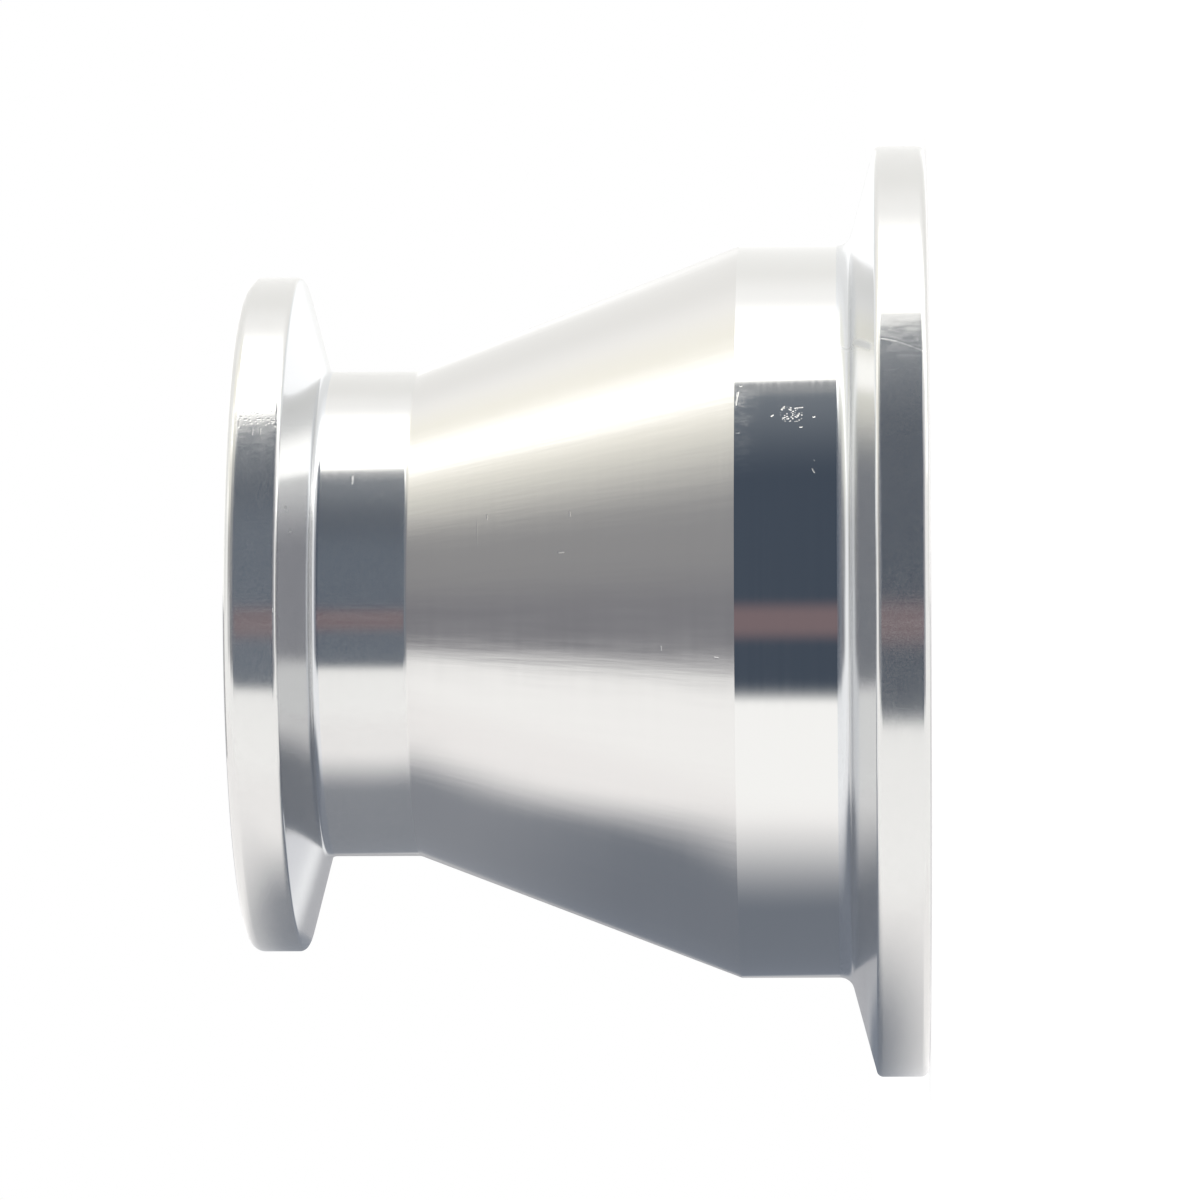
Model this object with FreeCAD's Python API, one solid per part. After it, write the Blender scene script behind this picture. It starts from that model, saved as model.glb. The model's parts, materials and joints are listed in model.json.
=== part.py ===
import FreeCAD, Part

import math
import os

# A conical vacuum reducer, turned from one bar of stainless steel: a wide clamp flange, a short
# wide tube, a cone, a narrow neck and a small clamp flange, with an open passage right through.
# The axis is Z. The origin is the centre of the wide flange's face, and the small flange is on top.

# Driving dimensions, in millimetres and degrees
# Lengths along the axis, from the wide face up; together they are the fitting's standard length
wide_end_length = 11.0
cone_length = 19.0
narrow_end_length = 10.0

# Passage and walls: tube diameters follow from a bore and its wall
wide_bore_diameter = 39.0
wide_wall = 2.15
narrow_bore_diameter = 24.0
narrow_wall = 2.375
cone_wall = 2.2

# Clamp flanges: a flat face, a rim and a tapered back that the clamp's halves ride on
wide_rim_diameter = 55.0
wide_rim_width = 3.0
narrow_rim_diameter = 40.0
narrow_rim_width = 3.1
clamp_taper_angle = 15.0

# Recess in each face that a centring ring drops into
ring_ledge = 1.1
recess_depth = 3.0

# Corners
wide_face_chamfer = 0.3
narrow_face_chamfer = 0.45
wide_rim_edge_break = 0.2
narrow_rim_edge_break = 0.15
wide_root_radius = 0.6
narrow_root_radius = 0.5
mouth_edge_break = 0.2

# A corner's fillet or chamfer takes at most this share of the shorter straight beside it
CORNER_SHARE = 0.45

# Sizes worked out from the driving ones
cone_start = wide_end_length
cone_end = cone_start + cone_length
total_length = cone_end + narrow_end_length
wide_tube_radius = wide_bore_diameter / 2 + wide_wall
neck_radius = narrow_bore_diameter / 2 + narrow_wall
taper_rise = math.tan(math.radians(clamp_taper_angle))


class Corner:
    """A corner of the section, at a radius and a height, with how it is finished."""

    def __init__(self, radius, height, fillet=0.0, chamfer=0.0):
        self.point = FreeCAD.Vector(radius, 0, height)
        self.fillet = fillet
        self.chamfer = chamfer


def finish_corner(before, corner, after):
    """Return the corner's first point, the middle of its arc or None, and its last point."""
    back = before.point - corner.point
    ahead = after.point - corner.point
    room = CORNER_SHARE * min(back.Length, ahead.Length)
    back.normalize()
    ahead.normalize()
    if corner.chamfer:
        cut = min(corner.chamfer, room)
        return corner.point + back * cut, None, corner.point + ahead * cut
    if corner.fillet:
        half_turn = (math.pi - back.getAngle(ahead)) / 2
        cut = min(corner.fillet * math.tan(half_turn), room)
        radius = cut / math.tan(half_turn)
        inward = (back + ahead).normalize()
        middle = corner.point + inward * (radius / math.cos(half_turn) - radius)
        return corner.point + back * cut, middle, corner.point + ahead * cut
    return corner.point, None, corner.point


def section_wire(corners):
    """Join the corners, in order, into one closed wire of straight edges and tangent arcs."""
    count = len(corners)
    finished = [
        finish_corner(corners[i - 1], corners[i], corners[(i + 1) % count])
        for i in range(count)
    ]
    edges = []
    for i, (first, middle, last) in enumerate(finished):
        if middle is not None:
            edges.append(Part.Arc(first, middle, last).toShape())
        elif first.distanceToPoint(last) > 0:
            edges.append(Part.LineSegment(first, last).toShape())
        next_first = finished[(i + 1) % count][0]
        edges.append(Part.LineSegment(last, next_first).toShape())
    return Part.Wire(edges)


def outer_corners():
    """Return the outside of the section, from the wide face up to the small one."""
    wide_rim_radius = wide_rim_diameter / 2
    narrow_rim_radius = narrow_rim_diameter / 2
    wide_root = wide_rim_width + (wide_rim_radius - wide_tube_radius) * taper_rise
    narrow_back = total_length - narrow_rim_width
    narrow_root = narrow_back - (narrow_rim_radius - neck_radius) * taper_rise
    return [
        Corner(wide_rim_radius, 0, chamfer=wide_face_chamfer),
        Corner(wide_rim_radius, wide_rim_width, chamfer=wide_rim_edge_break),
        Corner(wide_tube_radius, wide_root, fillet=wide_root_radius),
        Corner(wide_tube_radius, cone_start),
        Corner(neck_radius, cone_end),
        Corner(neck_radius, narrow_root, fillet=narrow_root_radius),
        Corner(narrow_rim_radius, narrow_back, chamfer=narrow_rim_edge_break),
        Corner(narrow_rim_radius, total_length, chamfer=narrow_face_chamfer),
    ]


def passage_corners():
    """Return the passage's side of the section, from the small face down to the wide one."""
    narrow_bore_radius = narrow_bore_diameter / 2
    wide_bore_radius = wide_bore_diameter / 2
    cone_slope = (wide_tube_radius - neck_radius) / cone_length
    inner_cone_radius = wide_tube_radius - cone_wall * math.hypot(1, cone_slope)
    inner_cone_start = cone_start + (inner_cone_radius - wide_bore_radius) / cone_slope
    inner_cone_end = cone_start + (inner_cone_radius - narrow_bore_radius) / cone_slope
    narrow_floor = total_length - recess_depth
    return [
        Corner(narrow_bore_radius + ring_ledge, total_length, chamfer=mouth_edge_break),
        Corner(narrow_bore_radius + ring_ledge, narrow_floor),
        Corner(narrow_bore_radius, narrow_floor),
        Corner(narrow_bore_radius, inner_cone_end),
        Corner(wide_bore_radius, inner_cone_start),
        Corner(wide_bore_radius, recess_depth),
        Corner(wide_bore_radius + ring_ledge, recess_depth),
        Corner(wide_bore_radius + ring_ledge, 0, chamfer=mouth_edge_break),
    ]


def reducer_body():
    """Turn the whole section about the axis into the one solid that the fitting is."""
    section = Part.Face(section_wire(outer_corners() + passage_corners()))
    return section.revolve(FreeCAD.Vector(0, 0, 0), FreeCAD.Vector(0, 0, 1), 360)


def main():
    os.makedirs("parts", exist_ok=True)
    body = reducer_body()
    body.exportStep("parts/reducer_body.step")
    print("valid", body.isValid(), "solids", len(body.Solids), "volume mm3", round(body.Volume, 1))


main()
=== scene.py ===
"""Dresses the conical reducer: one piece of turned stainless steel, with a clamp flange at each end.

The axis is Z. The wide flange stands on the floor and the small flange is on top, as in the CAD model.
The camera lies on its side, so the small flange is on the left of the picture and +X points up.
"""

import json
import logging
import math
from dataclasses import dataclass, field, fields
from enum import Enum
from functools import partial, reduce

import bpy
from mathutils import Euler, Matrix, Vector

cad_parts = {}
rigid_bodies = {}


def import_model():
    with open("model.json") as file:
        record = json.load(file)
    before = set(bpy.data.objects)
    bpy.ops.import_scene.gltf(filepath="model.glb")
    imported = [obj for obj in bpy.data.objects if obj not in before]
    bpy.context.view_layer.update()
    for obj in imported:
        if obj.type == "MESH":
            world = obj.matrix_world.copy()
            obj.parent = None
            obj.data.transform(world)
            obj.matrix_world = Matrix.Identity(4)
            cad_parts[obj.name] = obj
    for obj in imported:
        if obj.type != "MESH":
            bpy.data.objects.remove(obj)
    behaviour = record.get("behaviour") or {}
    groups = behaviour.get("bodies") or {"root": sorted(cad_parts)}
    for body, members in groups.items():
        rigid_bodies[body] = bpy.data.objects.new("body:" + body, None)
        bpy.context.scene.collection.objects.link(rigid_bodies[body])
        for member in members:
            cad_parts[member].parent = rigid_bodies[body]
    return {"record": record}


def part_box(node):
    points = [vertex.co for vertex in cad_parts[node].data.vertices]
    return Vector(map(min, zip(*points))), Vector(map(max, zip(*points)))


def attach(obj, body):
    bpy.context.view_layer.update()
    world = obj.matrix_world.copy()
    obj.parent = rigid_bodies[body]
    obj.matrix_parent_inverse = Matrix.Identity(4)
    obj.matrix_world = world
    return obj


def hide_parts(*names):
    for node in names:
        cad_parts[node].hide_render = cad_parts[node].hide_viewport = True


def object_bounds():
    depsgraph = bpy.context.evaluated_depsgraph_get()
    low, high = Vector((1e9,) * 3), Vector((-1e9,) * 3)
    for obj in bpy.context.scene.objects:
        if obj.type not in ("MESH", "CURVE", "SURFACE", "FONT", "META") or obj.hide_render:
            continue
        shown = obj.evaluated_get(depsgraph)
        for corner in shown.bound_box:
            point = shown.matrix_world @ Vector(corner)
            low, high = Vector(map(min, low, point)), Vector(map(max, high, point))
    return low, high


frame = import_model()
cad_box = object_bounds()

logging.basicConfig(level=logging.INFO, format="%(message)s")
log = logging.getLogger("reducer")

MM = 0.001
BODY = "root"
CAD_NODE = "reducer_body"
CLAMP_TAPER = 15.0

# Past every direction's turn, in degrees, also where a slant has moved it
PAST_ALL_TURNS = 400.0

# The colours' places among the Mix node's sockets, whose names repeat for each kind of data
MIX_FIRST = 6
MIX_SECOND = 7
MIX_RESULT = 2

Colour = tuple[float, float, float]
Span = tuple[float, float]
Socket = bpy.types.NodeSocket
Value = Socket | float | int
SizeSockets = dict[str, Socket]


class Wiring:
    """Adds nodes to one tree and joins them, so that a formula reads as one line."""

    def __init__(self, tree: bpy.types.NodeTree) -> None:
        """Keep the tree that the nodes go into."""
        self.tree = tree

    def node(self, kind: str, **settings: object) -> bpy.types.Node:
        """Add one node.

        Args:
            kind: The node's type name.
            settings: Properties to set on it, such as data_type.

        Returns:
            The new node.
        """
        made = self.tree.nodes.new(kind)
        for name, value in settings.items():
            setattr(made, name, value)
        return made

    def feed(self, target: Socket, value: object) -> None:
        """Link a socket to an input, or set the input's own value.

        Args:
            target: The input.
            value: Another node's output, or a constant.
        """
        if isinstance(value, bpy.types.NodeSocket):
            self.tree.links.new(value, target)
        else:
            target.default_value = value

    def in_order(self, kind: str, *values: object, **settings: object) -> Socket:
        """Add one node and feed its inputs in order.

        Args:
            kind: The node's type name.
            values: What goes into its inputs.
            settings: Properties to set on it.

        Returns:
            Its first output.
        """
        made = self.node(kind, **settings)
        for target, value in zip(made.inputs, values):
            self.feed(target, value)
        return made.outputs[0]

    def by_name(self, kind: str, values: dict[str, object], **settings: object) -> Socket:
        """Add one node and feed its inputs by name.

        Args:
            kind: The node's type name.
            values: What goes into each input.
            settings: Properties to set on it.

        Returns:
            Its first output.
        """
        made = self.node(kind, **settings)
        for name, value in values.items():
            self.feed(made.inputs[name], value)
        return made.outputs[0]

    def math(self, operation: str, *values: Value) -> Socket:
        """Return the result of one Math node on the values."""
        return self.in_order("ShaderNodeMath", *values, operation=operation)

    def vector(self, *values: Value) -> Socket:
        """Return a vector of the values, and 0 for what is left out."""
        return self.in_order("ShaderNodeCombineXYZ", *values)

    def parts(self, vector: Socket) -> list[Socket]:
        """Take a vector apart.

        Args:
            vector: The vector.

        Returns:
            Its X, Y and Z.
        """
        made = self.node("ShaderNodeSeparateXYZ")
        self.feed(made.inputs[0], vector)
        return list(made.outputs)

    def noise(
        self, vector: Socket, scale: float = 1.0, detail: float = 0.0, fourth: Socket | None = None,
    ) -> Socket:
        """Add a noise from 0 to 1.

        Args:
            vector: Where it is read.
            scale: How many of its grains there are to a unit.
            detail: How much finer noise it carries.
            fourth: A fourth coordinate, where it needs one.

        Returns:
            The noise's socket.
        """
        given = {"Vector": vector, "Scale": scale, "Detail": detail}
        if fourth is None:
            return self.by_name("ShaderNodeTexNoise", given, noise_dimensions="3D")
        return self.by_name("ShaderNodeTexNoise", {**given, "W": fourth}, noise_dimensions="4D")

    def by_number(self, data_type: str, values: list[object]) -> Socket:
        """Pick a value by each point's own number.

        Args:
            data_type: The kind of the values.
            values: A constant or a socket for each point, in order.

        Returns:
            The picked value's socket.
        """
        switch = self.node("GeometryNodeIndexSwitch", data_type=data_type)
        while len(switch.index_switch_items) < len(values):
            switch.index_switch_items.new()
        self.feed(switch.inputs["Index"], self.node("GeometryNodeInputIndex").outputs[0])
        for i, value in enumerate(values):
            self.feed(switch.inputs[i + 1], value)
        return switch.outputs[0]

    def ramp(self, value: Value, low: Value, high: Value, start: Value = 0.0, end: Value = 1.0) -> Socket:
        """Return a smooth step between two values.

        Args:
            value: What the step follows.
            low: Where it starts.
            high: Where it ends.
            start: The result up to low.
            end: The result past high.

        Returns:
            The result's socket.
        """
        given = {"Value": value, "From Min": low, "From Max": high, "To Min": start, "To Max": end}
        return self.by_name("ShaderNodeMapRange", given, interpolation_type="SMOOTHSTEP")

    def window(self, value: Value, span: Span, blur: Span) -> Socket:
        """Return 1 inside a span, 0 outside it, with a soft edge centred on each end.

        Args:
            value: What is tested.
            span: The lower and upper end.
            blur: The width of the soft edge at the lower and at the upper end.

        Returns:
            The result's socket.
        """
        rise = self.ramp(value, span[0] - blur[0] / 2, span[0] + blur[0] / 2)
        fall = self.ramp(value, span[1] - blur[1] / 2, span[1] + blur[1] / 2, 1.0, 0.0)
        return self.math("MULTIPLY", rise, fall)

    def mix_colour(self, share: Value, first: object, second: object) -> Socket:
        """Mix two colours.

        Args:
            share: How much of the second, from 0 to 1.
            first: A colour or a socket.
            second: A colour or a socket.

        Returns:
            The mixed colour's socket.
        """
        made = self.node("ShaderNodeMix", data_type="RGBA")
        self.feed(made.inputs["Factor"], share)
        self.feed(made.inputs[MIX_FIRST], first)
        self.feed(made.inputs[MIX_SECOND], second)
        return made.outputs[MIX_RESULT]


@dataclass(frozen=True)
class PhotoCamera:
    """The camera, lying on its side, a little off square to the axis. Millimetres and degrees."""

    across: float = 3.86
    distance: float = 405.33
    height: float = 3.68
    lens: float = 205.13
    sensor: float = 36.0
    tilt_down: float = 0.4495
    swing_to_small_end: float = 2.2122
    roll: float = 0.3027
    nearest: float = 10.0
    farthest: float = 100000.0

    def place(self) -> None:
        """Make the camera and make it the scene's own."""
        data = bpy.data.cameras.new("photo_camera")
        data.lens = self.lens
        data.sensor_width = self.sensor
        data.clip_start = self.nearest * MM
        data.clip_end = self.farthest * MM
        camera = bpy.data.objects.new("photo_camera", data)
        bpy.context.scene.collection.objects.link(camera)
        on_its_side = Matrix(((0, 1, 0), (0, 0, -1), (-1, 0, 0)))
        turns = (-self.tilt_down, self.swing_to_small_end, -self.roll)
        aim = Euler([math.radians(turn) for turn in turns], "XYZ").to_matrix()
        place = Vector((self.across, -self.distance, self.height)) * MM
        camera.matrix_world = Matrix.Translation(place) @ (on_its_side @ aim).to_4x4()
        bpy.context.scene.camera = camera


@dataclass(frozen=True)
class Panel:
    """A soft-edged part of the studio, seen from the part, in degrees.

    Turn goes round the part's axis: 0 is the camera's side, 90 the top of the picture, -90 its bottom.
    Rise goes along the axis: 90 is straight beyond the small flange. Slant is how many degrees of turn
    each of the two sides moves for each degree of rise above 0.
    """

    colour: Colour
    turn: Span = (-200.0, 200.0)
    turn_blur: Span = (4.0, 4.0)
    rise: Span = (-100.0, 100.0)
    rise_blur: Span = (4.0, 4.0)
    slant: Span = (0.0, 0.0)

    def share(self, wiring: Wiring, turn: Socket, rise: Socket) -> Socket:
        """Return how much of the panel shows in a direction.

        Args:
            wiring: The world's wiring.
            turn: The direction's turn in degrees.
            rise: The direction's rise in degrees.

        Returns:
            The share, from 0 to 1.
        """
        above = wiring.math("MAXIMUM", rise, 0.0)
        ends = [wiring.math("MULTIPLY_ADD", above, -slant, turn) for slant in self.slant]
        low = wiring.window(ends[0], (self.turn[0], PAST_ALL_TURNS), self.turn_blur)
        high = wiring.window(ends[1], (-PAST_ALL_TURNS, self.turn[1]), self.turn_blur)
        sides = wiring.math("MULTIPLY", low, high)
        return wiring.math("MULTIPLY", sides, wiring.window(rise, self.rise, self.rise_blur))


@dataclass(frozen=True)
class Studio:
    """A white studio with a dim room behind the camera, a white card beside the part, and a pale floor.

    The card glows and only the steel's reflections show it. The part's shadow is painted on it: this
    painted shade is as wide as the two shares of the wide tube and of the neck, and it narrows between the
    cone's two ends, each of which it lags behind.
    """

    white: Colour = (1.3, 1.3, 1.29)
    panels: tuple[Panel, ...] = (
        # the ceiling past the strip light
        Panel((1.12, 1.12, 1.1), turn=(125, 200), turn_blur=(20, 4)),
        # cream light from above, towards the small end
        Panel((1.3, 1.28, 1.16), turn=(28, 114), turn_blur=(20, 20), rise=(14, 66), rise_blur=(16, 24)),
        # strip light over the part, narrower far along the axis, and lower towards the small end
        Panel((2.0, 1.98, 1.9), turn=(79, 96), turn_blur=(8, 16), rise=(18, 70), rise_blur=(10, 10)),
        Panel((2.8, 2.78, 2.7), turn=(77, 104), turn_blur=(2, 26), rise=(-100, 18), rise_blur=(4, 10)),
        Panel(
            (2.8, 2.78, 2.7), turn=(76.5, 90), turn_blur=(3, 4), rise=(1.5, 12), rise_blur=(2, 10),
            slant=(-1.3, 0)),
        # the backdrop behind the part, off to both ends: lit above, in the part's shade below
        Panel((1.45, 1.45, 1.44), turn=(160, 200), turn_blur=(14, 4), rise=(7, 60), rise_blur=(6, 10)),
        Panel((1.45, 1.45, 1.44), turn=(160, 200), turn_blur=(14, 4), rise=(-60, -7), rise_blur=(10, 6)),
        Panel((0.5, 0.5, 0.52), turn=(-200, -160), turn_blur=(4, 14), rise=(-14, 60), rise_blur=(8, 10)),
        Panel((0.95, 0.95, 0.97), turn=(-200, -160), turn_blur=(4, 14), rise=(-60, -19), rise_blur=(10, 6)),
        # the room behind the camera, past its dark middle: towards the small end, then towards the wide one
        Panel((0.275, 0.275, 0.3), turn=(-21, 53), turn_blur=(14, 62), rise=(24, 62), rise_blur=(16, 30)),
        Panel((0.39, 0.39, 0.395), turn=(12, 44), turn_blur=(24, 24), rise=(36, 62), rise_blur=(16, 30)),
        Panel((0.26, 0.28, 0.32), turn=(-24, 60), turn_blur=(10, 30), rise=(10, 36), rise_blur=(10, 16)),
        Panel((0.41, 0.415, 0.46), turn=(-24, 56), turn_blur=(10, 44), rise=(-46, -14), rise_blur=(14, 20)),
        # the dark middle of the room, at the camera's height, and the grey band between it and the light
        *(
            Panel(colour, turn=(-24.3, end), turn_blur=(9, blur), rise=(-20, 16), rise_blur=(16, 16),
                  slant=(0.35, -1.3))
            for colour, end, blur in (
                ((0.4, 0.42, 0.44), 78, 1.5), ((0.23, 0.26, 0.3), 73, 4), ((0.075, 0.097, 0.134), 59, 34))
        ),
        Panel((0.15, 0.185, 0.235), turn=(-22, 40), turn_blur=(7, 30), rise=(2.5, 16), rise_blur=(2, 16)),
        Panel((0.26, 0.195, 0.21), turn=(-7, 2.5), turn_blur=(6, 6), rise=(-18, 12), rise_blur=(16, 16)),
    )
    floor_radius: float = 3.0
    floor_colour: Colour = (0.4, 0.4, 0.4)
    floor_lift: float = 0.66
    floor_drop: float = 0.02 * MM
    # The card's glow, and the part's shadow painted on it as a painted shade, with that shade's reach and
    # softness
    card_white: Colour = (1.24, 1.225, 1.22)
    card_shade: Colour = (0.215, 0.24, 0.285)
    card_gap: float = 0.4 * MM
    card_overhang: float = 30 * MM
    card_width: float = 60 * MM
    card_reach: Span = (-26 * MM, 18 * MM)
    card_fade: Span = (8 * MM, 8 * MM)
    shade_widths: Span = (0.86, 0.95)
    shade_lag: Span = (9 * MM, 3 * MM)
    shade_shift: float = 4.0 * MM
    neck_shade: float = 0.91
    shade_foot: float = 0.9 * MM
    shade_end_fade: Span = (6.0 * MM, 5.0 * MM)
    shade_end_blur: float = 18.0 * MM
    wide_shade_blur: float = 17.0 * MM
    neck_shade_blur: float = 9.0 * MM
    shade_blur_heights: Span = (8 * MM, 26 * MM)

    def build(self) -> None:
        """Make the world's light, the floor and the glowing card, with its painted shade, beside the part.
        """
        self.light()
        self.floor()
        self.card(ReducerSizes())

    def card(self, sizes: "ReducerSizes") -> None:
        """Stand a white card close to both rims, on the side that the picture shows as the bottom.

        Args:
            sizes: The part's sizes, which place the card and its shade.
        """
        foot = Vector((-sizes.wide_rim_radius - self.card_gap, 0.0, sizes.wide_rim_width / 2))
        rim_middle = sizes.total_length - sizes.narrow_rim_width / 2
        head = Vector((-sizes.narrow_rim_radius - self.card_gap, 0.0, rim_middle))
        overhang = (head - foot).normalized() * self.card_overhang
        foot -= overhang
        head += overhang
        half = Vector((0.0, self.card_width / 2, 0.0))
        mesh = bpy.data.meshes.new("white_card")
        mesh.from_pydata([foot - half, foot + half, head + half, head - half], [], [(0, 1, 2, 3)])
        mesh.materials.append(self.card_material(sizes))
        card = bpy.data.objects.new("white_card", mesh)
        # The card glows, with the part's shadow painted on it, and only the steel's reflections show it.
        card.visible_camera = False
        card.visible_diffuse = False
        card.visible_shadow = False
        bpy.context.scene.collection.objects.link(card)
        log.info("studio: card")

    def card_material(self, sizes: "ReducerSizes") -> bpy.types.Material:
        """Make the card's material, which only the steel shows.

        The part's shadow is painted along the card as a painted shade, lighter at the rims, and the card
        fades out towards its long edges. The card's white and its painted shade both glow.

        Args:
            sizes: The part's sizes, which place the shade.

        Returns:
            The new material.
        """
        material = bpy.data.materials.new("shaded_white_card")
        material.use_nodes = True
        material.node_tree.nodes.clear()
        wiring = Wiring(material.node_tree)
        _, y, z = wiring.parts(wiring.node("ShaderNodeTexCoord").outputs["Object"])
        cone = (sizes.cone_start + self.shade_lag[0], sizes.cone_end + self.shade_lag[1])
        middle = wiring.ramp(z, *cone, 0.0, self.shade_shift)
        half_width = wiring.by_name("ShaderNodeMapRange", {
            "Value": z,
            "From Min": cone[0],
            "From Max": cone[1],
            "To Min": sizes.wide_tube_radius * self.shade_widths[0],
            "To Max": sizes.neck_radius * self.shade_widths[1] + self.shade_shift,
        })
        off_middle = wiring.math("ABSOLUTE", wiring.math("SUBTRACT", y, middle))
        past = wiring.math("SUBTRACT", off_middle, half_width)
        between = wiring.window(z, (self.shade_foot, sizes.total_length), self.shade_end_fade)
        side_blurs = (self.wide_shade_blur / 2, self.neck_shade_blur / 2)
        side_blur = wiring.ramp(z, *self.shade_blur_heights, *side_blurs)
        softness = wiring.ramp(between, 0.5, 1.0, self.shade_end_blur / 2, side_blur)
        across = wiring.ramp(past, wiring.math("MULTIPLY", softness, -1.0), softness, 1.0, 0.0)
        depth = wiring.ramp(z, *cone, 1.0, self.neck_shade)
        # the part's shadow, painted on the card
        shade = wiring.math("MULTIPLY", wiring.math("MULTIPLY", across, between), depth)
        colour = wiring.mix_colour(shade, (*self.card_white, 1.0), (*self.card_shade, 1.0))
        glow = wiring.by_name("ShaderNodeEmission", {"Color": colour})
        clear = wiring.node("ShaderNodeBsdfTransparent").outputs[0]
        solid = wiring.window(y, self.card_reach, self.card_fade)
        shown = wiring.in_order("ShaderNodeMixShader", solid, clear, glow)
        wiring.feed(wiring.node("ShaderNodeOutputMaterial").inputs["Surface"], shown)
        return material

    def light(self) -> None:
        """Light the scene with the world, which the camera itself sees as plain white."""
        world = bpy.data.worlds.new("white_studio")
        world.use_nodes = True
        world.node_tree.nodes.clear()
        wiring = Wiring(world.node_tree)
        x, y, z = wiring.parts(wiring.node("ShaderNodeTexCoord").outputs["Generated"])
        towards_camera = wiring.math("MULTIPLY", y, -1.0)
        turn = wiring.math("DEGREES", wiring.math("ARCTAN2", x, towards_camera))
        rise = wiring.math("DEGREES", wiring.math("ARCSINE", z))
        colour: object = (*self.white, 1.0)
        for panel in self.panels:
            colour = wiring.mix_colour(panel.share(wiring, turn, rise), colour, (*panel.colour, 1.0))
        studio = wiring.by_name("ShaderNodeBackground", {"Color": colour})
        plain = wiring.by_name("ShaderNodeBackground", {"Color": (1.0, 1.0, 1.0, 1.0)})
        seen = wiring.node("ShaderNodeLightPath").outputs["Is Camera Ray"]
        shown = wiring.in_order("ShaderNodeMixShader", seen, studio, plain)
        wiring.feed(wiring.node("ShaderNodeOutputWorld").inputs["Surface"], shown)
        bpy.context.scene.world = world
        log.info("studio: world with %d panels", len(self.panels))

    def floor(self) -> None:
        """Lay a plain pale floor, which takes the part's shadow and isn't mirrored in the steel."""
        material = bpy.data.materials.new("pale_floor")
        material.use_nodes = True
        material.node_tree.nodes.clear()
        wiring = Wiring(material.node_tree)
        matt = wiring.by_name("ShaderNodeBsdfDiffuse", {"Color": (*self.floor_colour, 1.0)})
        seen = wiring.node("ShaderNodeLightPath").outputs["Is Camera Ray"]
        strength = wiring.math("MULTIPLY", seen, self.floor_lift)
        lift = wiring.by_name("ShaderNodeEmission", {"Strength": strength})
        both = wiring.in_order("ShaderNodeAddShader", matt, lift)
        wiring.feed(wiring.node("ShaderNodeOutputMaterial").inputs["Surface"], both)
        mesh = bpy.data.meshes.new("floor")
        reach = self.floor_radius
        corners = [(-reach, -reach, 0.0), (reach, -reach, 0.0), (reach, reach, 0.0), (-reach, reach, 0.0)]
        mesh.from_pydata(corners, [], [(0, 1, 2, 3)])
        mesh.materials.append(material)
        floor = bpy.data.objects.new("floor", mesh)
        floor.location.z = cad_box[0].z - self.floor_drop
        floor.visible_glossy = False
        bpy.context.scene.collection.objects.link(floor)
        log.info("studio: floor")


class Zone(Enum):
    """The stretches of the part that the lathe left with different finishes."""

    BORED = "bored_steel"
    WIDE_RIM = "wide_rim_steel"
    WIDE_TAPER = "wide_taper_steel"
    TUBE = "polished_tube_steel"
    CONE = "satin_cone_steel"
    NECK = "polished_neck_steel"
    NARROW_TAPER = "narrow_taper_steel"
    NARROW_RIM = "narrow_rim_steel"


@dataclass
class SteelPlace:
    """Where a point of the steel lies, as sockets, in metres and radians."""

    point: Socket
    across: Socket
    along: Socket
    out: Socket
    turn: Socket
    height: Socket
    radius: float

    @classmethod
    def read(cls, wiring: Wiring, radius: float) -> "SteelPlace":
        """Work the place out from the object's coordinates.

        Args:
            wiring: The material's wiring.
            radius: About how far the steel lies from the axis, in millimetres.

        Returns:
            The place.
        """
        point = wiring.node("ShaderNodeTexCoord").outputs["Object"]
        x, y, z = wiring.parts(point)
        squares = wiring.math("MULTIPLY_ADD", x, x, wiring.math("MULTIPLY", y, y))
        out = wiring.math("SQRT", squares)
        turn = wiring.math("ARCTAN2", x, wiring.math("MULTIPLY", y, -1.0))
        across = wiring.math("DIVIDE", x, out)
        along = wiring.math("DIVIDE", y, out)
        return cls(point, across, along, out, turn, z, radius)

    def offset(self, wiring: Wiring, height: float, turn: float) -> tuple[Socket, Socket]:
        """Return how far the steel lies from one spot, along the axis and round it.

        Args:
            wiring: The material's wiring.
            height: The spot's height in millimetres.
            turn: The spot's place round the axis in degrees.

        Returns:
            The two distances in metres.
        """
        aside = wiring.math("MULTIPLY", wiring.math("SUBTRACT", self.turn, math.radians(turn)), self.out)
        return wiring.math("SUBTRACT", self.height, height * MM), aside

    def rings(self, wiring: Wiring, pitch: float) -> Socket:
        """Make a noise of fine rings, which change little on their way round the axis.

        Args:
            wiring: The material's wiring.
            pitch: How far apart the rings lie, in millimetres.

        Returns:
            The noise's socket.
        """
        scale = 1.0 / (pitch * MM)
        change = 1.2
        vector = wiring.vector(
            wiring.math("MULTIPLY", self.across, change),
            wiring.math("MULTIPLY", self.along, change),
            wiring.math("MULTIPLY", self.height, scale))
        return wiring.noise(vector, detail=3.0, fourth=wiring.math("MULTIPLY", self.out, scale))

    def grit(self, wiring: Wiring, grain: float) -> Socket:
        """Return a noise of fine grit, of that grain in millimetres."""
        return wiring.noise(self.point, scale=1.0 / (grain * MM))

    def strokes(self, wiring: Wiring, length: float, width: float) -> Socket:
        """Make a noise of strokes that run straight up the steel.

        Args:
            wiring: The material's wiring.
            length: A stroke's length in millimetres.
            width: A stroke's width in millimetres.

        Returns:
            The noise's socket.
        """
        scale = self.radius / width
        vector = wiring.vector(
            wiring.math("MULTIPLY", self.across, scale),
            wiring.math("MULTIPLY", self.along, scale),
            wiring.math("DIVIDE", self.height, length * MM))
        return wiring.noise(vector, detail=4.0)


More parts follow.
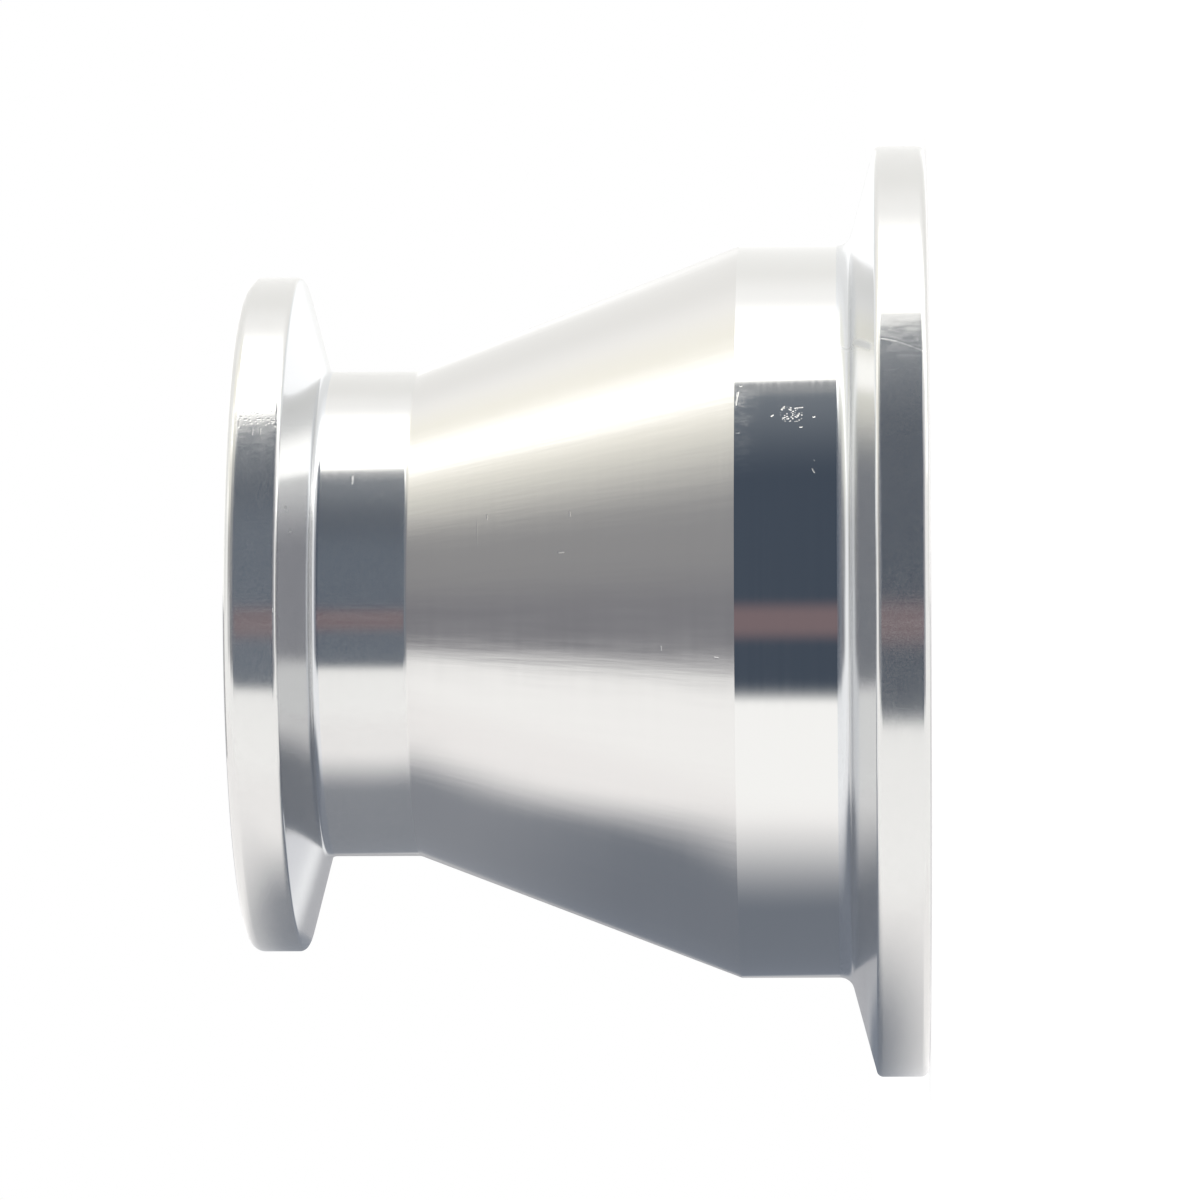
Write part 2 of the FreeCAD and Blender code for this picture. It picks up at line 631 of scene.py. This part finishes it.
@dataclass(frozen=True)
class Scratch:
    """A fine line in the steel. Its ends are heights in millimetres and turns in degrees."""

    start: Span
    end: Span
    width: float = 0.07
    strength: float = 1.0

    def mask(self, wiring: Wiring, place: SteelPlace) -> Socket:
        """Return the line's strength on it and 0 off it.

        Args:
            wiring: The material's wiring.
            place: The place on the steel.

        Returns:
            The mask's socket.
        """
        rise = (self.end[0] - self.start[0]) * MM
        swing = math.radians(self.end[1] - self.start[1]) * place.radius * MM
        length = math.hypot(rise, swing)
        climb = rise / length
        lean = swing / length
        tail = length / 3
        up, aside = place.offset(wiring, *self.start)
        run = wiring.math("MULTIPLY_ADD", up, climb, wiring.math("MULTIPLY", aside, lean))
        off = wiring.math("MULTIPLY_ADD", up, -lean, wiring.math("MULTIPLY", aside, climb))
        line = wiring.ramp(wiring.math("ABSOLUTE", off), 0.0, self.width * MM, self.strength, 0.0)
        return wiring.math("MULTIPLY", line, wiring.window(run, (0.0, length), (tail, tail)))


@dataclass(frozen=True)
class Nicks:
    """A patch of tiny nicks. Its middle is a height in millimetres and a turn in degrees.

    Reach is how far it goes along the axis and round it, and it thins out past full_to of that. Grain is
    how far apart the nicks lie, in millimetres, and share how many of them there are.
    """

    middle: Span
    reach: Span
    grain: float
    share: float
    size: float
    strength: float
    full_to: float = 0.8

    def mask(self, wiring: Wiring, place: SteelPlace) -> Socket:
        """Return the strength in the middle of a nick and 0 elsewhere.

        Args:
            wiring: The material's wiring.
            place: The place on the steel.

        Returns:
            The mask's socket.
        """
        up, aside = place.offset(wiring, *self.middle)
        cells = wiring.node("ShaderNodeTexVoronoi", voronoi_dimensions="2D")
        cells.inputs["Scale"].default_value = 1.0
        spots = [wiring.math("DIVIDE", distance, self.grain * MM) for distance in (up, aside)]
        wiring.feed(cells.inputs["Vector"], wiring.vector(*spots))
        chance, shape, _ = wiring.parts(cells.outputs["Color"])
        along = wiring.math("DIVIDE", up, self.reach[0] * MM)
        across = wiring.math("DIVIDE", aside, self.reach[1] * MM)
        squares = wiring.math("MULTIPLY_ADD", along, along, wiring.math("MULTIPLY", across, across))
        away = wiring.math("SQRT", squares)
        kept = wiring.math("LESS_THAN", wiring.math("ADD", chance, away), 1.0 + self.share)
        kept = wiring.math("MULTIPLY", kept, wiring.math("LESS_THAN", chance, self.share))
        width = wiring.math("MULTIPLY_ADD", shape, self.size, self.size / 2)
        dot = wiring.ramp(cells.outputs["Distance"], 0.0, width, 1.0, 0.0)
        inside = wiring.ramp(away, self.full_to, 1.0, self.strength, 0.0)
        return wiring.math("MULTIPLY", wiring.math("MULTIPLY", dot, kept), inside)


@dataclass(frozen=True)
class Frost:
    """A dulled patch: its heights in millimetres, its turns in degrees, and how soft its edges are.

    Its upper and lower turns are ragged by that many degrees, and it is mottled, both in short strokes
    along the axis. Grain is a stroke's width in millimetres.
    """

    heights: Span
    turns: Span
    turn_blur: Span
    strength: float
    ragged: float
    height_blur: Span = (0.3, 0.3)
    grain: float = 0.25
    stroke_ratio: float = 3.0
    noise_reach: Span = (0.35, 0.65)
    mottle: Span = (0.5, 1.5)

    def mask(self, wiring: Wiring, place: SteelPlace) -> Socket:
        """Return the dullness, from 0 to the patch's strength.

        Args:
            wiring: The material's wiring.
            place: The place on the steel.

        Returns:
            The mask's socket.
        """
        strokes = place.strokes(wiring, self.grain * self.stroke_ratio, self.grain)
        off = wiring.math("SUBTRACT", strokes, 0.5)
        turn = wiring.math("MULTIPLY_ADD", off, self.ragged, wiring.math("DEGREES", place.turn))
        height = wiring.math("DIVIDE", place.height, MM)
        rows = wiring.window(height, self.heights, self.height_blur)
        columns = wiring.window(turn, self.turns, self.turn_blur)
        strengths = [self.strength * share for share in self.mottle]
        strength = wiring.ramp(strokes, *self.noise_reach, *strengths)
        return wiring.math("MULTIPLY", wiring.math("MULTIPLY", rows, columns), strength)


@dataclass(frozen=True)
class SteelFinish:
    """How the bare steel of one zone looks. Lengths are in millimetres.

    Polish is the roughness. A fine grain hazes about haze_share of it. The tool's rings run round the axis,
    and polishing strokes along it. Wear is duller than the steel round it, and nicks and scratches are
    cut into it.
    """

    polish: float
    haze: float = 0.9
    haze_share: float = 0.0
    haze_grain: float = 0.01
    haze_spread: float = 0.35
    haze_edge: float = 0.05
    ring_pitch: float = 0.2
    ring_play: float = 0.02
    ring_height: float = 0.0
    stroke_play: float = 0.0
    stroke_height: float = 0.0
    stroke_size: Span = (6.0, 0.5)
    worn: float = 0.75
    wear_depth: float = 0.02
    radius: float = 20.0
    colour: Colour = (0.69, 0.685, 0.675)
    wear: tuple[Scratch | Nicks | Frost, ...] = ()

    def material(self, zone: Zone) -> bpy.types.Material:
        """Make the zone's material.

        Args:
            zone: The zone, which names the material.

        Returns:
            The new material.
        """
        made = bpy.data.materials.new(zone.value)
        made.use_nodes = True
        steel = made.node_tree.nodes["Principled BSDF"]
        steel.inputs["Metallic"].default_value = 1.0
        steel.inputs["Base Color"].default_value = (*self.colour, 1.0)
        wiring = Wiring(made.node_tree)
        roughness, relief = self.surface(wiring, SteelPlace.read(wiring, self.radius))
        wiring.feed(steel.inputs["Roughness"], roughness)
        if self.wear or self.ring_height:
            bump = wiring.by_name("ShaderNodeBump", {"Strength": 1.0, "Distance": MM, "Height": relief})
            wiring.feed(steel.inputs["Normal"], bump)
        return made

    def surface(self, wiring: Wiring, place: SteelPlace) -> tuple[Socket, Socket]:
        """Work out how rough the steel is, and its relief.

        Args:
            wiring: The material's wiring.
            place: The place on the steel.

        Returns:
            The roughness, and the relief in millimetres.
        """
        rings = place.rings(wiring, self.ring_pitch)
        roughness = self.varied(wiring, rings, self.polish, self.ring_play)
        relief = wiring.math("MULTIPLY", rings, self.ring_height)
        if self.stroke_play:
            strokes = place.strokes(wiring, *self.stroke_size)
            roughness = self.varied(wiring, strokes, roughness, self.stroke_play)
            relief = wiring.math("MULTIPLY_ADD", strokes, self.stroke_height, relief)
        if self.haze_share:
            grit = place.grit(wiring, self.haze_grain)
            level = 0.5 + self.haze_spread * (self.haze_share - 0.5)
            hazed = wiring.ramp(grit, level - self.haze_edge, level + self.haze_edge, 1.0, 0.0)
            roughness = self.moved(wiring, roughness, self.haze, hazed)
        if self.wear:
            masks = [mark.mask(wiring, place) for mark in self.wear]
            roughness = self.moved(wiring, roughness, self.worn, self.strongest(wiring, masks))
            cuts = [mask for mark, mask in zip(self.wear, masks) if not isinstance(mark, Frost)]
            relief = wiring.math("MULTIPLY_ADD", self.strongest(wiring, cuts), -self.wear_depth, relief)
        return roughness, relief

    @staticmethod
    def strongest(wiring: Wiring, masks: list[Socket]) -> Socket:
        """Return the strongest of the masks at each point."""
        return reduce(partial(wiring.math, "MAXIMUM"), masks)

    @staticmethod
    def moved(wiring: Wiring, value: Socket, target: float, share: Socket) -> Socket:
        """Return a value moved towards a target by a share of the way."""
        return wiring.math("MULTIPLY_ADD", wiring.math("SUBTRACT", target, value), share, value)

    @staticmethod
    def varied(wiring: Wiring, noise: Socket, middle: Value, play: float) -> Socket:
        """Return a value that follows a noise by that much up and down."""
        noise_gain = 4.0
        return wiring.math("MULTIPLY_ADD", wiring.math("SUBTRACT", noise, 0.5), noise_gain * play, middle)


def frame_mount(name: str) -> dict:
    """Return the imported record's mount of that name."""
    return next(mount for mount in frame["record"]["mounts"] if mount["name"] == name)


def mount_radius(name: str) -> float:
    """Return a round mount's radius in metres."""
    return frame_mount(name)["dims"]["r_mm"] * MM


@dataclass
class ReducerSizes:
    """The section's sizes, in metres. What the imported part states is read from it.

    An edge's size is its arc's radius, and taper_rise is how far a clamp taper rises for each metre out.
    """

    total_length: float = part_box(CAD_NODE)[1].z
    wide_rim_radius: float = mount_radius("kf40_rim")
    narrow_rim_radius: float = mount_radius("kf25_rim")
    wide_recess_radius: float = mount_radius("kf40_recess")
    narrow_recess_radius: float = mount_radius("kf25_recess")
    wide_rim_width: float = 3.0 * MM
    narrow_rim_width: float = 3.1 * MM
    taper_rise: float = math.tan(math.radians(CLAMP_TAPER))
    wide_tube_radius: float = 21.65 * MM
    neck_radius: float = 14.375 * MM
    cone_start: float = 11.0 * MM
    cone_end: float = 30.0 * MM
    cone_wall: float = 2.2 * MM
    ring_ledge: float = 1.1 * MM
    recess_depth: float = 3.0 * MM
    wide_face_edge: float = 0.5 * MM
    narrow_face_edge: float = 0.75 * MM
    wide_back_edge: float = 0.4 * MM
    narrow_back_edge: float = 0.4 * MM
    mouth_edge_break: float = 0.2 * MM
    wide_root_radius: float = 0.85 * MM
    narrow_root_radius: float = 0.5 * MM
    neck_corner_radius: float = 0.8 * MM


@dataclass
class SectionCorner:
    """A corner of the turned section: its place, the radius that finishes it and the steps of its arc."""

    radius: Value
    height: Value
    finish: Value = 0.0
    steps: int = 1


@dataclass
class TurnedReducer:
    """The reducer's body, turned about Z from one section by Geometry Nodes.

    Edges over sharp_edge degrees stay crisp, and flat_weight lets the flats lead the shading of the arcs.
    """

    sizes: ReducerSizes = field(default_factory=ReducerSizes)
    rounds: int = 400
    arc_steps: int = 14
    edge_steps: int = 8
    sharp_edge: float = 9.0
    flat_weight: int = 100
    finishes: dict[Zone, SteelFinish] = field(default_factory=lambda: {
        Zone.BORED: SteelFinish(polish=0.2, ring_pitch=0.15, ring_height=0.002),
        Zone.WIDE_RIM: SteelFinish(polish=0.1, haze_share=0.1, radius=27.5, wear=(
            Frost((0.2, 3.1), (28.0, 37.5), turn_blur=(14.0, 1.0), strength=0.12, ragged=2.0),
            Scratch((2.75, 34.4), (1.75, 33.9), 0.1, 0.22),
            Scratch((1.75, 33.9), (0.25, 32.5), 0.1, 0.2),
            Scratch((2.5, 29.9), (2.0, 29.9), 0.07, 0.2),
            Scratch((2.5, 28.6), (2.48, 27.5), 0.07, 0.2),
        )),
        Zone.WIDE_TAPER: SteelFinish(
            polish=0.13, haze_share=0.02, radius=24.0, colour=(0.645, 0.655, 0.67), wear=(
                Scratch((4.95, 44.6), (4.2, 42.2), 0.1, 0.7),
                Scratch((4.2, 42.2), (3.25, 33.6), 0.12, 0.7),
            )),
        Zone.TUBE: SteelFinish(polish=0.07, radius=21.65, wear=(
            Scratch((8.32, 32.5), (8.16, 33.1), 0.06, 0.9),
            Scratch((7.5, 32.8), (7.13, 32.9), 0.05, 0.8),
            Scratch((7.4, 31.3), (7.32, 31.9), 0.06, 0.9),
            Scratch((7.29, 29.4), (7.15, 29.45), 0.06, 0.9),
            Scratch((8.25, 31.0), (8.1, 31.15), 0.06, 0.7),
            Scratch((7.88, 32.55), (7.76, 32.4), 0.06, 0.7),
            Scratch((8.9, 31.3), (8.78, 31.6), 0.06, 0.7),
            Scratch((6.55, 31.15), (6.42, 31.25), 0.07, 0.6),
            Scratch((6.59, 22.45), (6.45, 21.75), 0.05, 0.8),
            Scratch((6.52, 23.9), (6.45, 23.7), 0.05, 0.3),
            Scratch((10.68, 36.85), (10.57, 36.9), 0.06, 0.9),
            Scratch((10.79, 35.8), (10.83, 35.0), 0.07, 0.8),
            Scratch((10.83, 35.0), (10.9, 33.4), 0.05, 0.5),
            Scratch((10.9, 28.5), (10.7, 28.45), 0.08, 0.3),
            Nicks((7.75, 31.6), (0.7, 0.6), grain=0.12, share=0.5, size=0.4, strength=0.5),
            Frost(
                (9.8, 11.0), (23.0, 36.0), turn_blur=(6.0, 2.0), strength=0.14, ragged=3.0,
                height_blur=(1.4, 0.1)),
        )),
        Zone.CONE: SteelFinish(
            polish=0.18, ring_pitch=0.6, ring_height=0.003, stroke_play=0.03, stroke_height=0.006,
            radius=18.0, colour=(0.665, 0.655, 0.645), wear=(
                Scratch((21.05, 11.7), (20.7, 11.65), 0.07, 0.5),
                Scratch((25.78, 19.6), (25.75, 15.0), 0.05, 0.12),
                Scratch((25.2, 20.9), (25.2, 19.9), 0.06, 0.2),
                Scratch((20.4, 19.2), (20.37, 18.2), 0.06, 0.25),
                Scratch((15.15, -4.9), (15.15, -5.8), 0.06, 0.2),
                Scratch((12.14, -6.35), (11.9, -6.4), 0.06, 0.25),
            )),
        Zone.NECK: SteelFinish(polish=0.1, haze_share=0.06, radius=14.375, wear=(
            Scratch((33.17, 34.2), (33.15, 32.0), 0.1, 0.2),
            Scratch((31.4, 30.3), (31.39, 28.7), 0.08, 0.15),
        )),
        Zone.NARROW_TAPER: SteelFinish(
            polish=0.13, haze_share=0.02, wear_depth=0.01, radius=18.5, colour=(0.645, 0.655, 0.67), wear=(
                Scratch((36.52, 19.8), (36.52, 19.1), 0.08, 1.0),
                Scratch((36.35, 15.6), (36.25, 16.2), 0.06, 0.5),
            )),
        Zone.NARROW_RIM: SteelFinish(polish=0.1, haze_share=0.09, wear_depth=0.012, radius=20.0, wear=(
            Nicks((38.3, 34.6), (2.6, 0.55), grain=0.16, share=0.55, size=0.4, strength=0.4),
            Frost((36.5, 40.0), (24.0, 35.6), turn_blur=(15.0, 0.8), strength=0.13, ragged=4.0),
            Scratch((39.27, 34.0), (39.27, 32.8), 0.08, 1.0),
            Scratch((39.24, 34.9), (39.08, 34.9), 0.07, 0.8),
            Scratch((38.97, 34.3), (38.8, 34.4), 0.08, 1.0),
            Scratch((38.2, 34.4), (38.0, 34.5), 0.07, 0.9),
            Scratch((37.66, 34.4), (37.49, 34.4), 0.09, 1.0),
            Scratch((37.43, 34.1), (37.22, 33.9), 0.09, 1.0),
            Scratch((37.2, 33.0), (37.12, 32.9), 0.08, 1.0),
            Scratch((38.46, 32.6), (38.46, 31.2), 0.06, 0.2),
            Scratch((38.02, 32.6), (38.02, 31.2), 0.06, 0.2),
            Scratch((37.8, 25.3), (37.6, 25.2), 0.05, 0.2),
            Scratch((37.08, 1.6), (37.06, 0.9), 0.06, 0.7),
            Scratch((36.83, -12.9), (36.77, -14.7), 0.12, 1.0),
        )),
    })

    def build(self) -> bpy.types.Object:
        """Make the body's mesh with its materials.

        Returns:
            The finished object, at the origin, with no modifiers.
        """
        materials = {zone: finish.material(zone) for zone, finish in self.finishes.items()}
        tree, sockets = self.tree(materials)
        blank = bpy.data.objects.new("section_holder", bpy.data.meshes.new("section_holder"))
        bpy.context.scene.collection.objects.link(blank)
        turning = blank.modifiers.new("turning", "NODES")
        turning.node_group = tree
        for name, identifier in sockets.items():
            turning[identifier] = getattr(self.sizes, name)
        weighted = blank.modifiers.new("flats_lead_the_arcs", "WEIGHTED_NORMAL")
        weighted.weight = self.flat_weight
        weighted.keep_sharp = True
        graph = bpy.context.evaluated_depsgraph_get()
        whole = blank.evaluated_get(graph)
        mesh = bpy.data.meshes.new_from_object(whole, preserve_all_data_layers=True, depsgraph=graph)
        mesh.name = "turned_reducer"
        blank.modifiers.clear()
        bpy.data.objects.remove(blank)
        body = bpy.data.objects.new("turned_reducer", mesh)
        bpy.context.scene.collection.objects.link(body)
        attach(body, BODY)
        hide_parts(CAD_NODE)
        log.info("body: %d faces, %d materials", len(mesh.polygons), len(mesh.materials))
        return body

    def tree(self, materials: dict[Zone, bpy.types.Material]) -> tuple[bpy.types.NodeTree, dict[str, str]]:
        """Make the tree that turns the section.

        Args:
            materials: Each zone's material.

        Returns:
            The tree, and for each size the identifier of its input.
        """
        tree = bpy.data.node_groups.new("turn_the_section", "GeometryNodeTree")
        sockets = {}
        for size in fields(self.sizes):
            label = size.name.replace("_", " ").capitalize()
            made = tree.interface.new_socket(label, in_out="INPUT", socket_type="NodeSocketFloat")
            sockets[size.name] = made.identifier
        tree.interface.new_socket("Body", in_out="OUTPUT", socket_type="NodeSocketGeometry")
        wiring = Wiring(tree)
        given = wiring.node("NodeGroupInput")
        size = {name: given.outputs[i] for i, name in enumerate(sockets)}
        places = self.flange_places(wiring, size)
        corners = self.outer_corners(size, places) + self.passage_corners(wiring, size)
        body = self.shaded(wiring, self.turned(wiring, self.section_curve(wiring, corners)))
        real = wiring.in_order("GeometryNodeRealizeInstances", body)
        painted = self.painted(wiring, real, size, places, materials)
        wiring.feed(wiring.node("NodeGroupOutput").inputs[0], painted)
        return tree, sockets

    def flange_places(self, wiring: Wiring, size: SizeSockets) -> SizeSockets:
        """Work out the heights where the flanges' tapers end.

        Args:
            wiring: The tree's wiring.
            size: The tree's inputs by name.

        Returns:
            The heights by name.
        """
        wide_reach = wiring.math("SUBTRACT", size["wide_rim_radius"], size["wide_tube_radius"])
        narrow_back = wiring.math("SUBTRACT", size["total_length"], size["narrow_rim_width"])
        narrow_reach = wiring.math("SUBTRACT", size["narrow_rim_radius"], size["neck_radius"])
        narrow_rise = wiring.math("MULTIPLY", narrow_reach, size["taper_rise"])
        wide_rise = wiring.math("MULTIPLY", wide_reach, size["taper_rise"])
        return {
            "wide_root": wiring.math("ADD", wide_rise, size["wide_rim_width"]),
            "narrow_root": wiring.math("SUBTRACT", narrow_back, narrow_rise),
            "narrow_back": narrow_back,
        }

    def outer_corners(self, size: SizeSockets, places: SizeSockets) -> list[SectionCorner]:
        """List the corners of the outside.

        Args:
            size: The tree's inputs by name.
            places: The heights where the tapers end.

        Returns:
            The corners, from the wide face up to the small one.
        """
        arc = self.arc_steps
        edge = self.edge_steps
        return [
            SectionCorner(size["wide_rim_radius"], 0.0, size["wide_face_edge"], edge),
            SectionCorner(size["wide_rim_radius"], size["wide_rim_width"], size["wide_back_edge"], edge),
            SectionCorner(size["wide_tube_radius"], places["wide_root"], size["wide_root_radius"], arc),
            SectionCorner(size["wide_tube_radius"], size["cone_start"]),
            SectionCorner(size["neck_radius"], size["cone_end"], size["neck_corner_radius"], arc),
            SectionCorner(size["neck_radius"], places["narrow_root"], size["narrow_root_radius"], arc),
            SectionCorner(size["narrow_rim_radius"], places["narrow_back"], size["narrow_back_edge"], edge),
            SectionCorner(size["narrow_rim_radius"], size["total_length"], size["narrow_face_edge"], edge),
        ]

    def passage_corners(self, wiring: Wiring, size: SizeSockets) -> list[SectionCorner]:
        """List the corners of the passage.

        Args:
            wiring: The tree's wiring.
            size: The tree's inputs by name.

        Returns:
            The corners, from the small face down to the wide one.
        """
        wide_bore = wiring.math("SUBTRACT", size["wide_recess_radius"], size["ring_ledge"])
        narrow_bore = wiring.math("SUBTRACT", size["narrow_recess_radius"], size["ring_ledge"])
        narrow_floor = wiring.math("SUBTRACT", size["total_length"], size["recess_depth"])
        edge = size["mouth_edge_break"]
        return [
            SectionCorner(size["narrow_recess_radius"], size["total_length"], edge),
            SectionCorner(size["narrow_recess_radius"], narrow_floor),
            SectionCorner(narrow_bore, narrow_floor),
            SectionCorner(narrow_bore, self.inner_cone_height(wiring, size, narrow_bore)),
            SectionCorner(wide_bore, self.inner_cone_height(wiring, size, wide_bore)),
            SectionCorner(wide_bore, size["recess_depth"]),
            SectionCorner(size["wide_recess_radius"], size["recess_depth"]),
            SectionCorner(size["wide_recess_radius"], 0.0, edge),
        ]

    def inner_cone_height(self, wiring: Wiring, size: SizeSockets, bore: Socket) -> Socket:
        """Work out where the inner cone, which is parallel to the outer one, meets a bore.

        Args:
            wiring: The tree's wiring.
            size: The tree's inputs by name.
            bore: The bore's radius.

        Returns:
            The height's socket.
        """
        fall = wiring.math("SUBTRACT", size["wide_tube_radius"], size["neck_radius"])
        length = wiring.math("SUBTRACT", size["cone_end"], size["cone_start"])
        slope = wiring.math("DIVIDE", fall, length)
        lean = wiring.math("SQRT", wiring.math("MULTIPLY_ADD", slope, slope, 1.0))
        wall = wiring.math("MULTIPLY", size["cone_wall"], lean)
        inner = wiring.math("SUBTRACT", size["wide_tube_radius"], wall)
        climb = wiring.math("DIVIDE", wiring.math("SUBTRACT", inner, bore), slope)
        return wiring.math("ADD", size["cone_start"], climb)

    def section_curve(self, wiring: Wiring, corners: list[SectionCorner]) -> Socket:
        """Join the corners into one closed curve and finish each of them.

        Args:
            wiring: The tree's wiring.
            corners: The corners in order, all the way round.

        Returns:
            The section as a curve, with its radii along X and its heights along Y.
        """
        count = {"Count": len(corners)}
        line = wiring.by_name("GeometryNodeMeshLine", count, mode="OFFSET", count_mode="TOTAL")
        places = wiring.by_number(
            "VECTOR", [wiring.vector(corner.radius, corner.height) for corner in corners])
        placed = wiring.by_name("GeometryNodeSetPosition", {"Geometry": line, "Position": places})
        curve = wiring.by_name("GeometryNodeMeshToCurve", {"Mesh": placed})
        closed = wiring.by_name("GeometryNodeSetSplineCyclic", {"Geometry": curve, "Cyclic": True})
        finish = {
            "Curve": closed,
            "Radius": wiring.by_number("FLOAT", [corner.finish for corner in corners]),
            "Count": wiring.by_number("INT", [corner.steps for corner in corners]),
        }
        return wiring.by_name("GeometryNodeFilletCurve", finish, mode="POLY")

    def turned(self, wiring: Wiring, section: Socket) -> Socket:
        """Turn the section about Z, as a ring with no seam.

        Args:
            wiring: The tree's wiring.
            section: The section as a curve.

        Returns:
            The body as a mesh, with its faces outwards.
        """
        hub = 1.0 * MM
        circle = {"Resolution": self.rounds, "Radius": hub}
        path = wiring.by_name("GeometryNodeCurvePrimitiveCircle", circle, mode="RADIUS")
        upright = wiring.by_name("GeometryNodeSetCurveNormal", {"Curve": path}, mode="Z_UP")
        inset = wiring.by_name("GeometryNodeTransform", {
            "Geometry": section,
            "Translation": (-hub, 0.0, 0.0),
            "Rotation": (math.pi, 0.0, 0.0),
        })
        swept = wiring.by_name("GeometryNodeCurveToMesh", {"Curve": upright, "Profile Curve": inset})
        return wiring.by_name("GeometryNodeFlipFaces", {"Mesh": swept})

    def shaded(self, wiring: Wiring, body: Socket) -> Socket:
        """Shade the body smooth, with crisp edges where the section has them.

        Args:
            wiring: The tree's wiring.
            body: The turned body.

        Returns:
            The shaded body.
        """
        smooth = wiring.by_name(
            "GeometryNodeSetShadeSmooth", {"Geometry": body, "Shade Smooth": True}, domain="FACE")
        angle = wiring.node("GeometryNodeInputMeshEdgeAngle").outputs["Unsigned Angle"]
        is_edge = wiring.math("GREATER_THAN", angle, math.radians(self.sharp_edge))
        crisp = {"Geometry": smooth, "Selection": is_edge, "Shade Smooth": False}
        return wiring.by_name("GeometryNodeSetShadeSmooth", crisp, domain="EDGE")

    def painted(
        self,
        wiring: Wiring,
        body: Socket,
        size: SizeSockets,
        places: SizeSockets,
        materials: dict[Zone, bpy.types.Material],
    ) -> Socket:
        """Give each zone its material. What faces the axis, or straight up or down, is the bored steel.

        Args:
            wiring: The tree's wiring.
            body: The turned body.
            size: The tree's inputs by name.
            places: The heights where the tapers end.
            materials: Each zone's material.

        Returns:
            The body with its materials set.
        """
        x, y, z = wiring.parts(wiring.node("GeometryNodeInputPosition").outputs[0])
        across, along, _ = wiring.parts(wiring.node("GeometryNodeInputNormal").outputs[0])
        lean = wiring.math("ADD", wiring.math("MULTIPLY", x, across), wiring.math("MULTIPLY", y, along))
        least_lean = 1.0 * MM
        outside = wiring.math("GREATER_THAN", lean, least_lean)
        below_all = -1.0
        steps: list[tuple[Zone, Value]] = [
            (Zone.WIDE_RIM, below_all),
            (Zone.WIDE_TAPER, size["wide_rim_width"]),
            (Zone.TUBE, wiring.math("ADD", places["wide_root"], size["wide_root_radius"])),
            (Zone.CONE, size["cone_start"]),
            (Zone.NECK, size["cone_end"]),
            (Zone.NARROW_TAPER, wiring.math("SUBTRACT", places["narrow_root"], size["narrow_root_radius"])),
            (Zone.NARROW_RIM, places["narrow_back"]),
        ]
        bored = {"Geometry": body, "Material": materials[Zone.BORED]}
        body = wiring.by_name("GeometryNodeSetMaterial", bored)
        for zone, start in steps:
            above = wiring.math("MULTIPLY", outside, wiring.math("GREATER_THAN", z, start))
            paint = {"Geometry": body, "Selection": above, "Material": materials[zone]}
            body = wiring.by_name("GeometryNodeSetMaterial", paint)
        return body


def main() -> None:
    """Build the piece, light it and place the camera."""
    TurnedReducer().build()
    Studio().build()
    PhotoCamera().place()
    bpy.context.scene.view_settings.view_transform = "Standard"


if __name__ == "__main__":
    main()
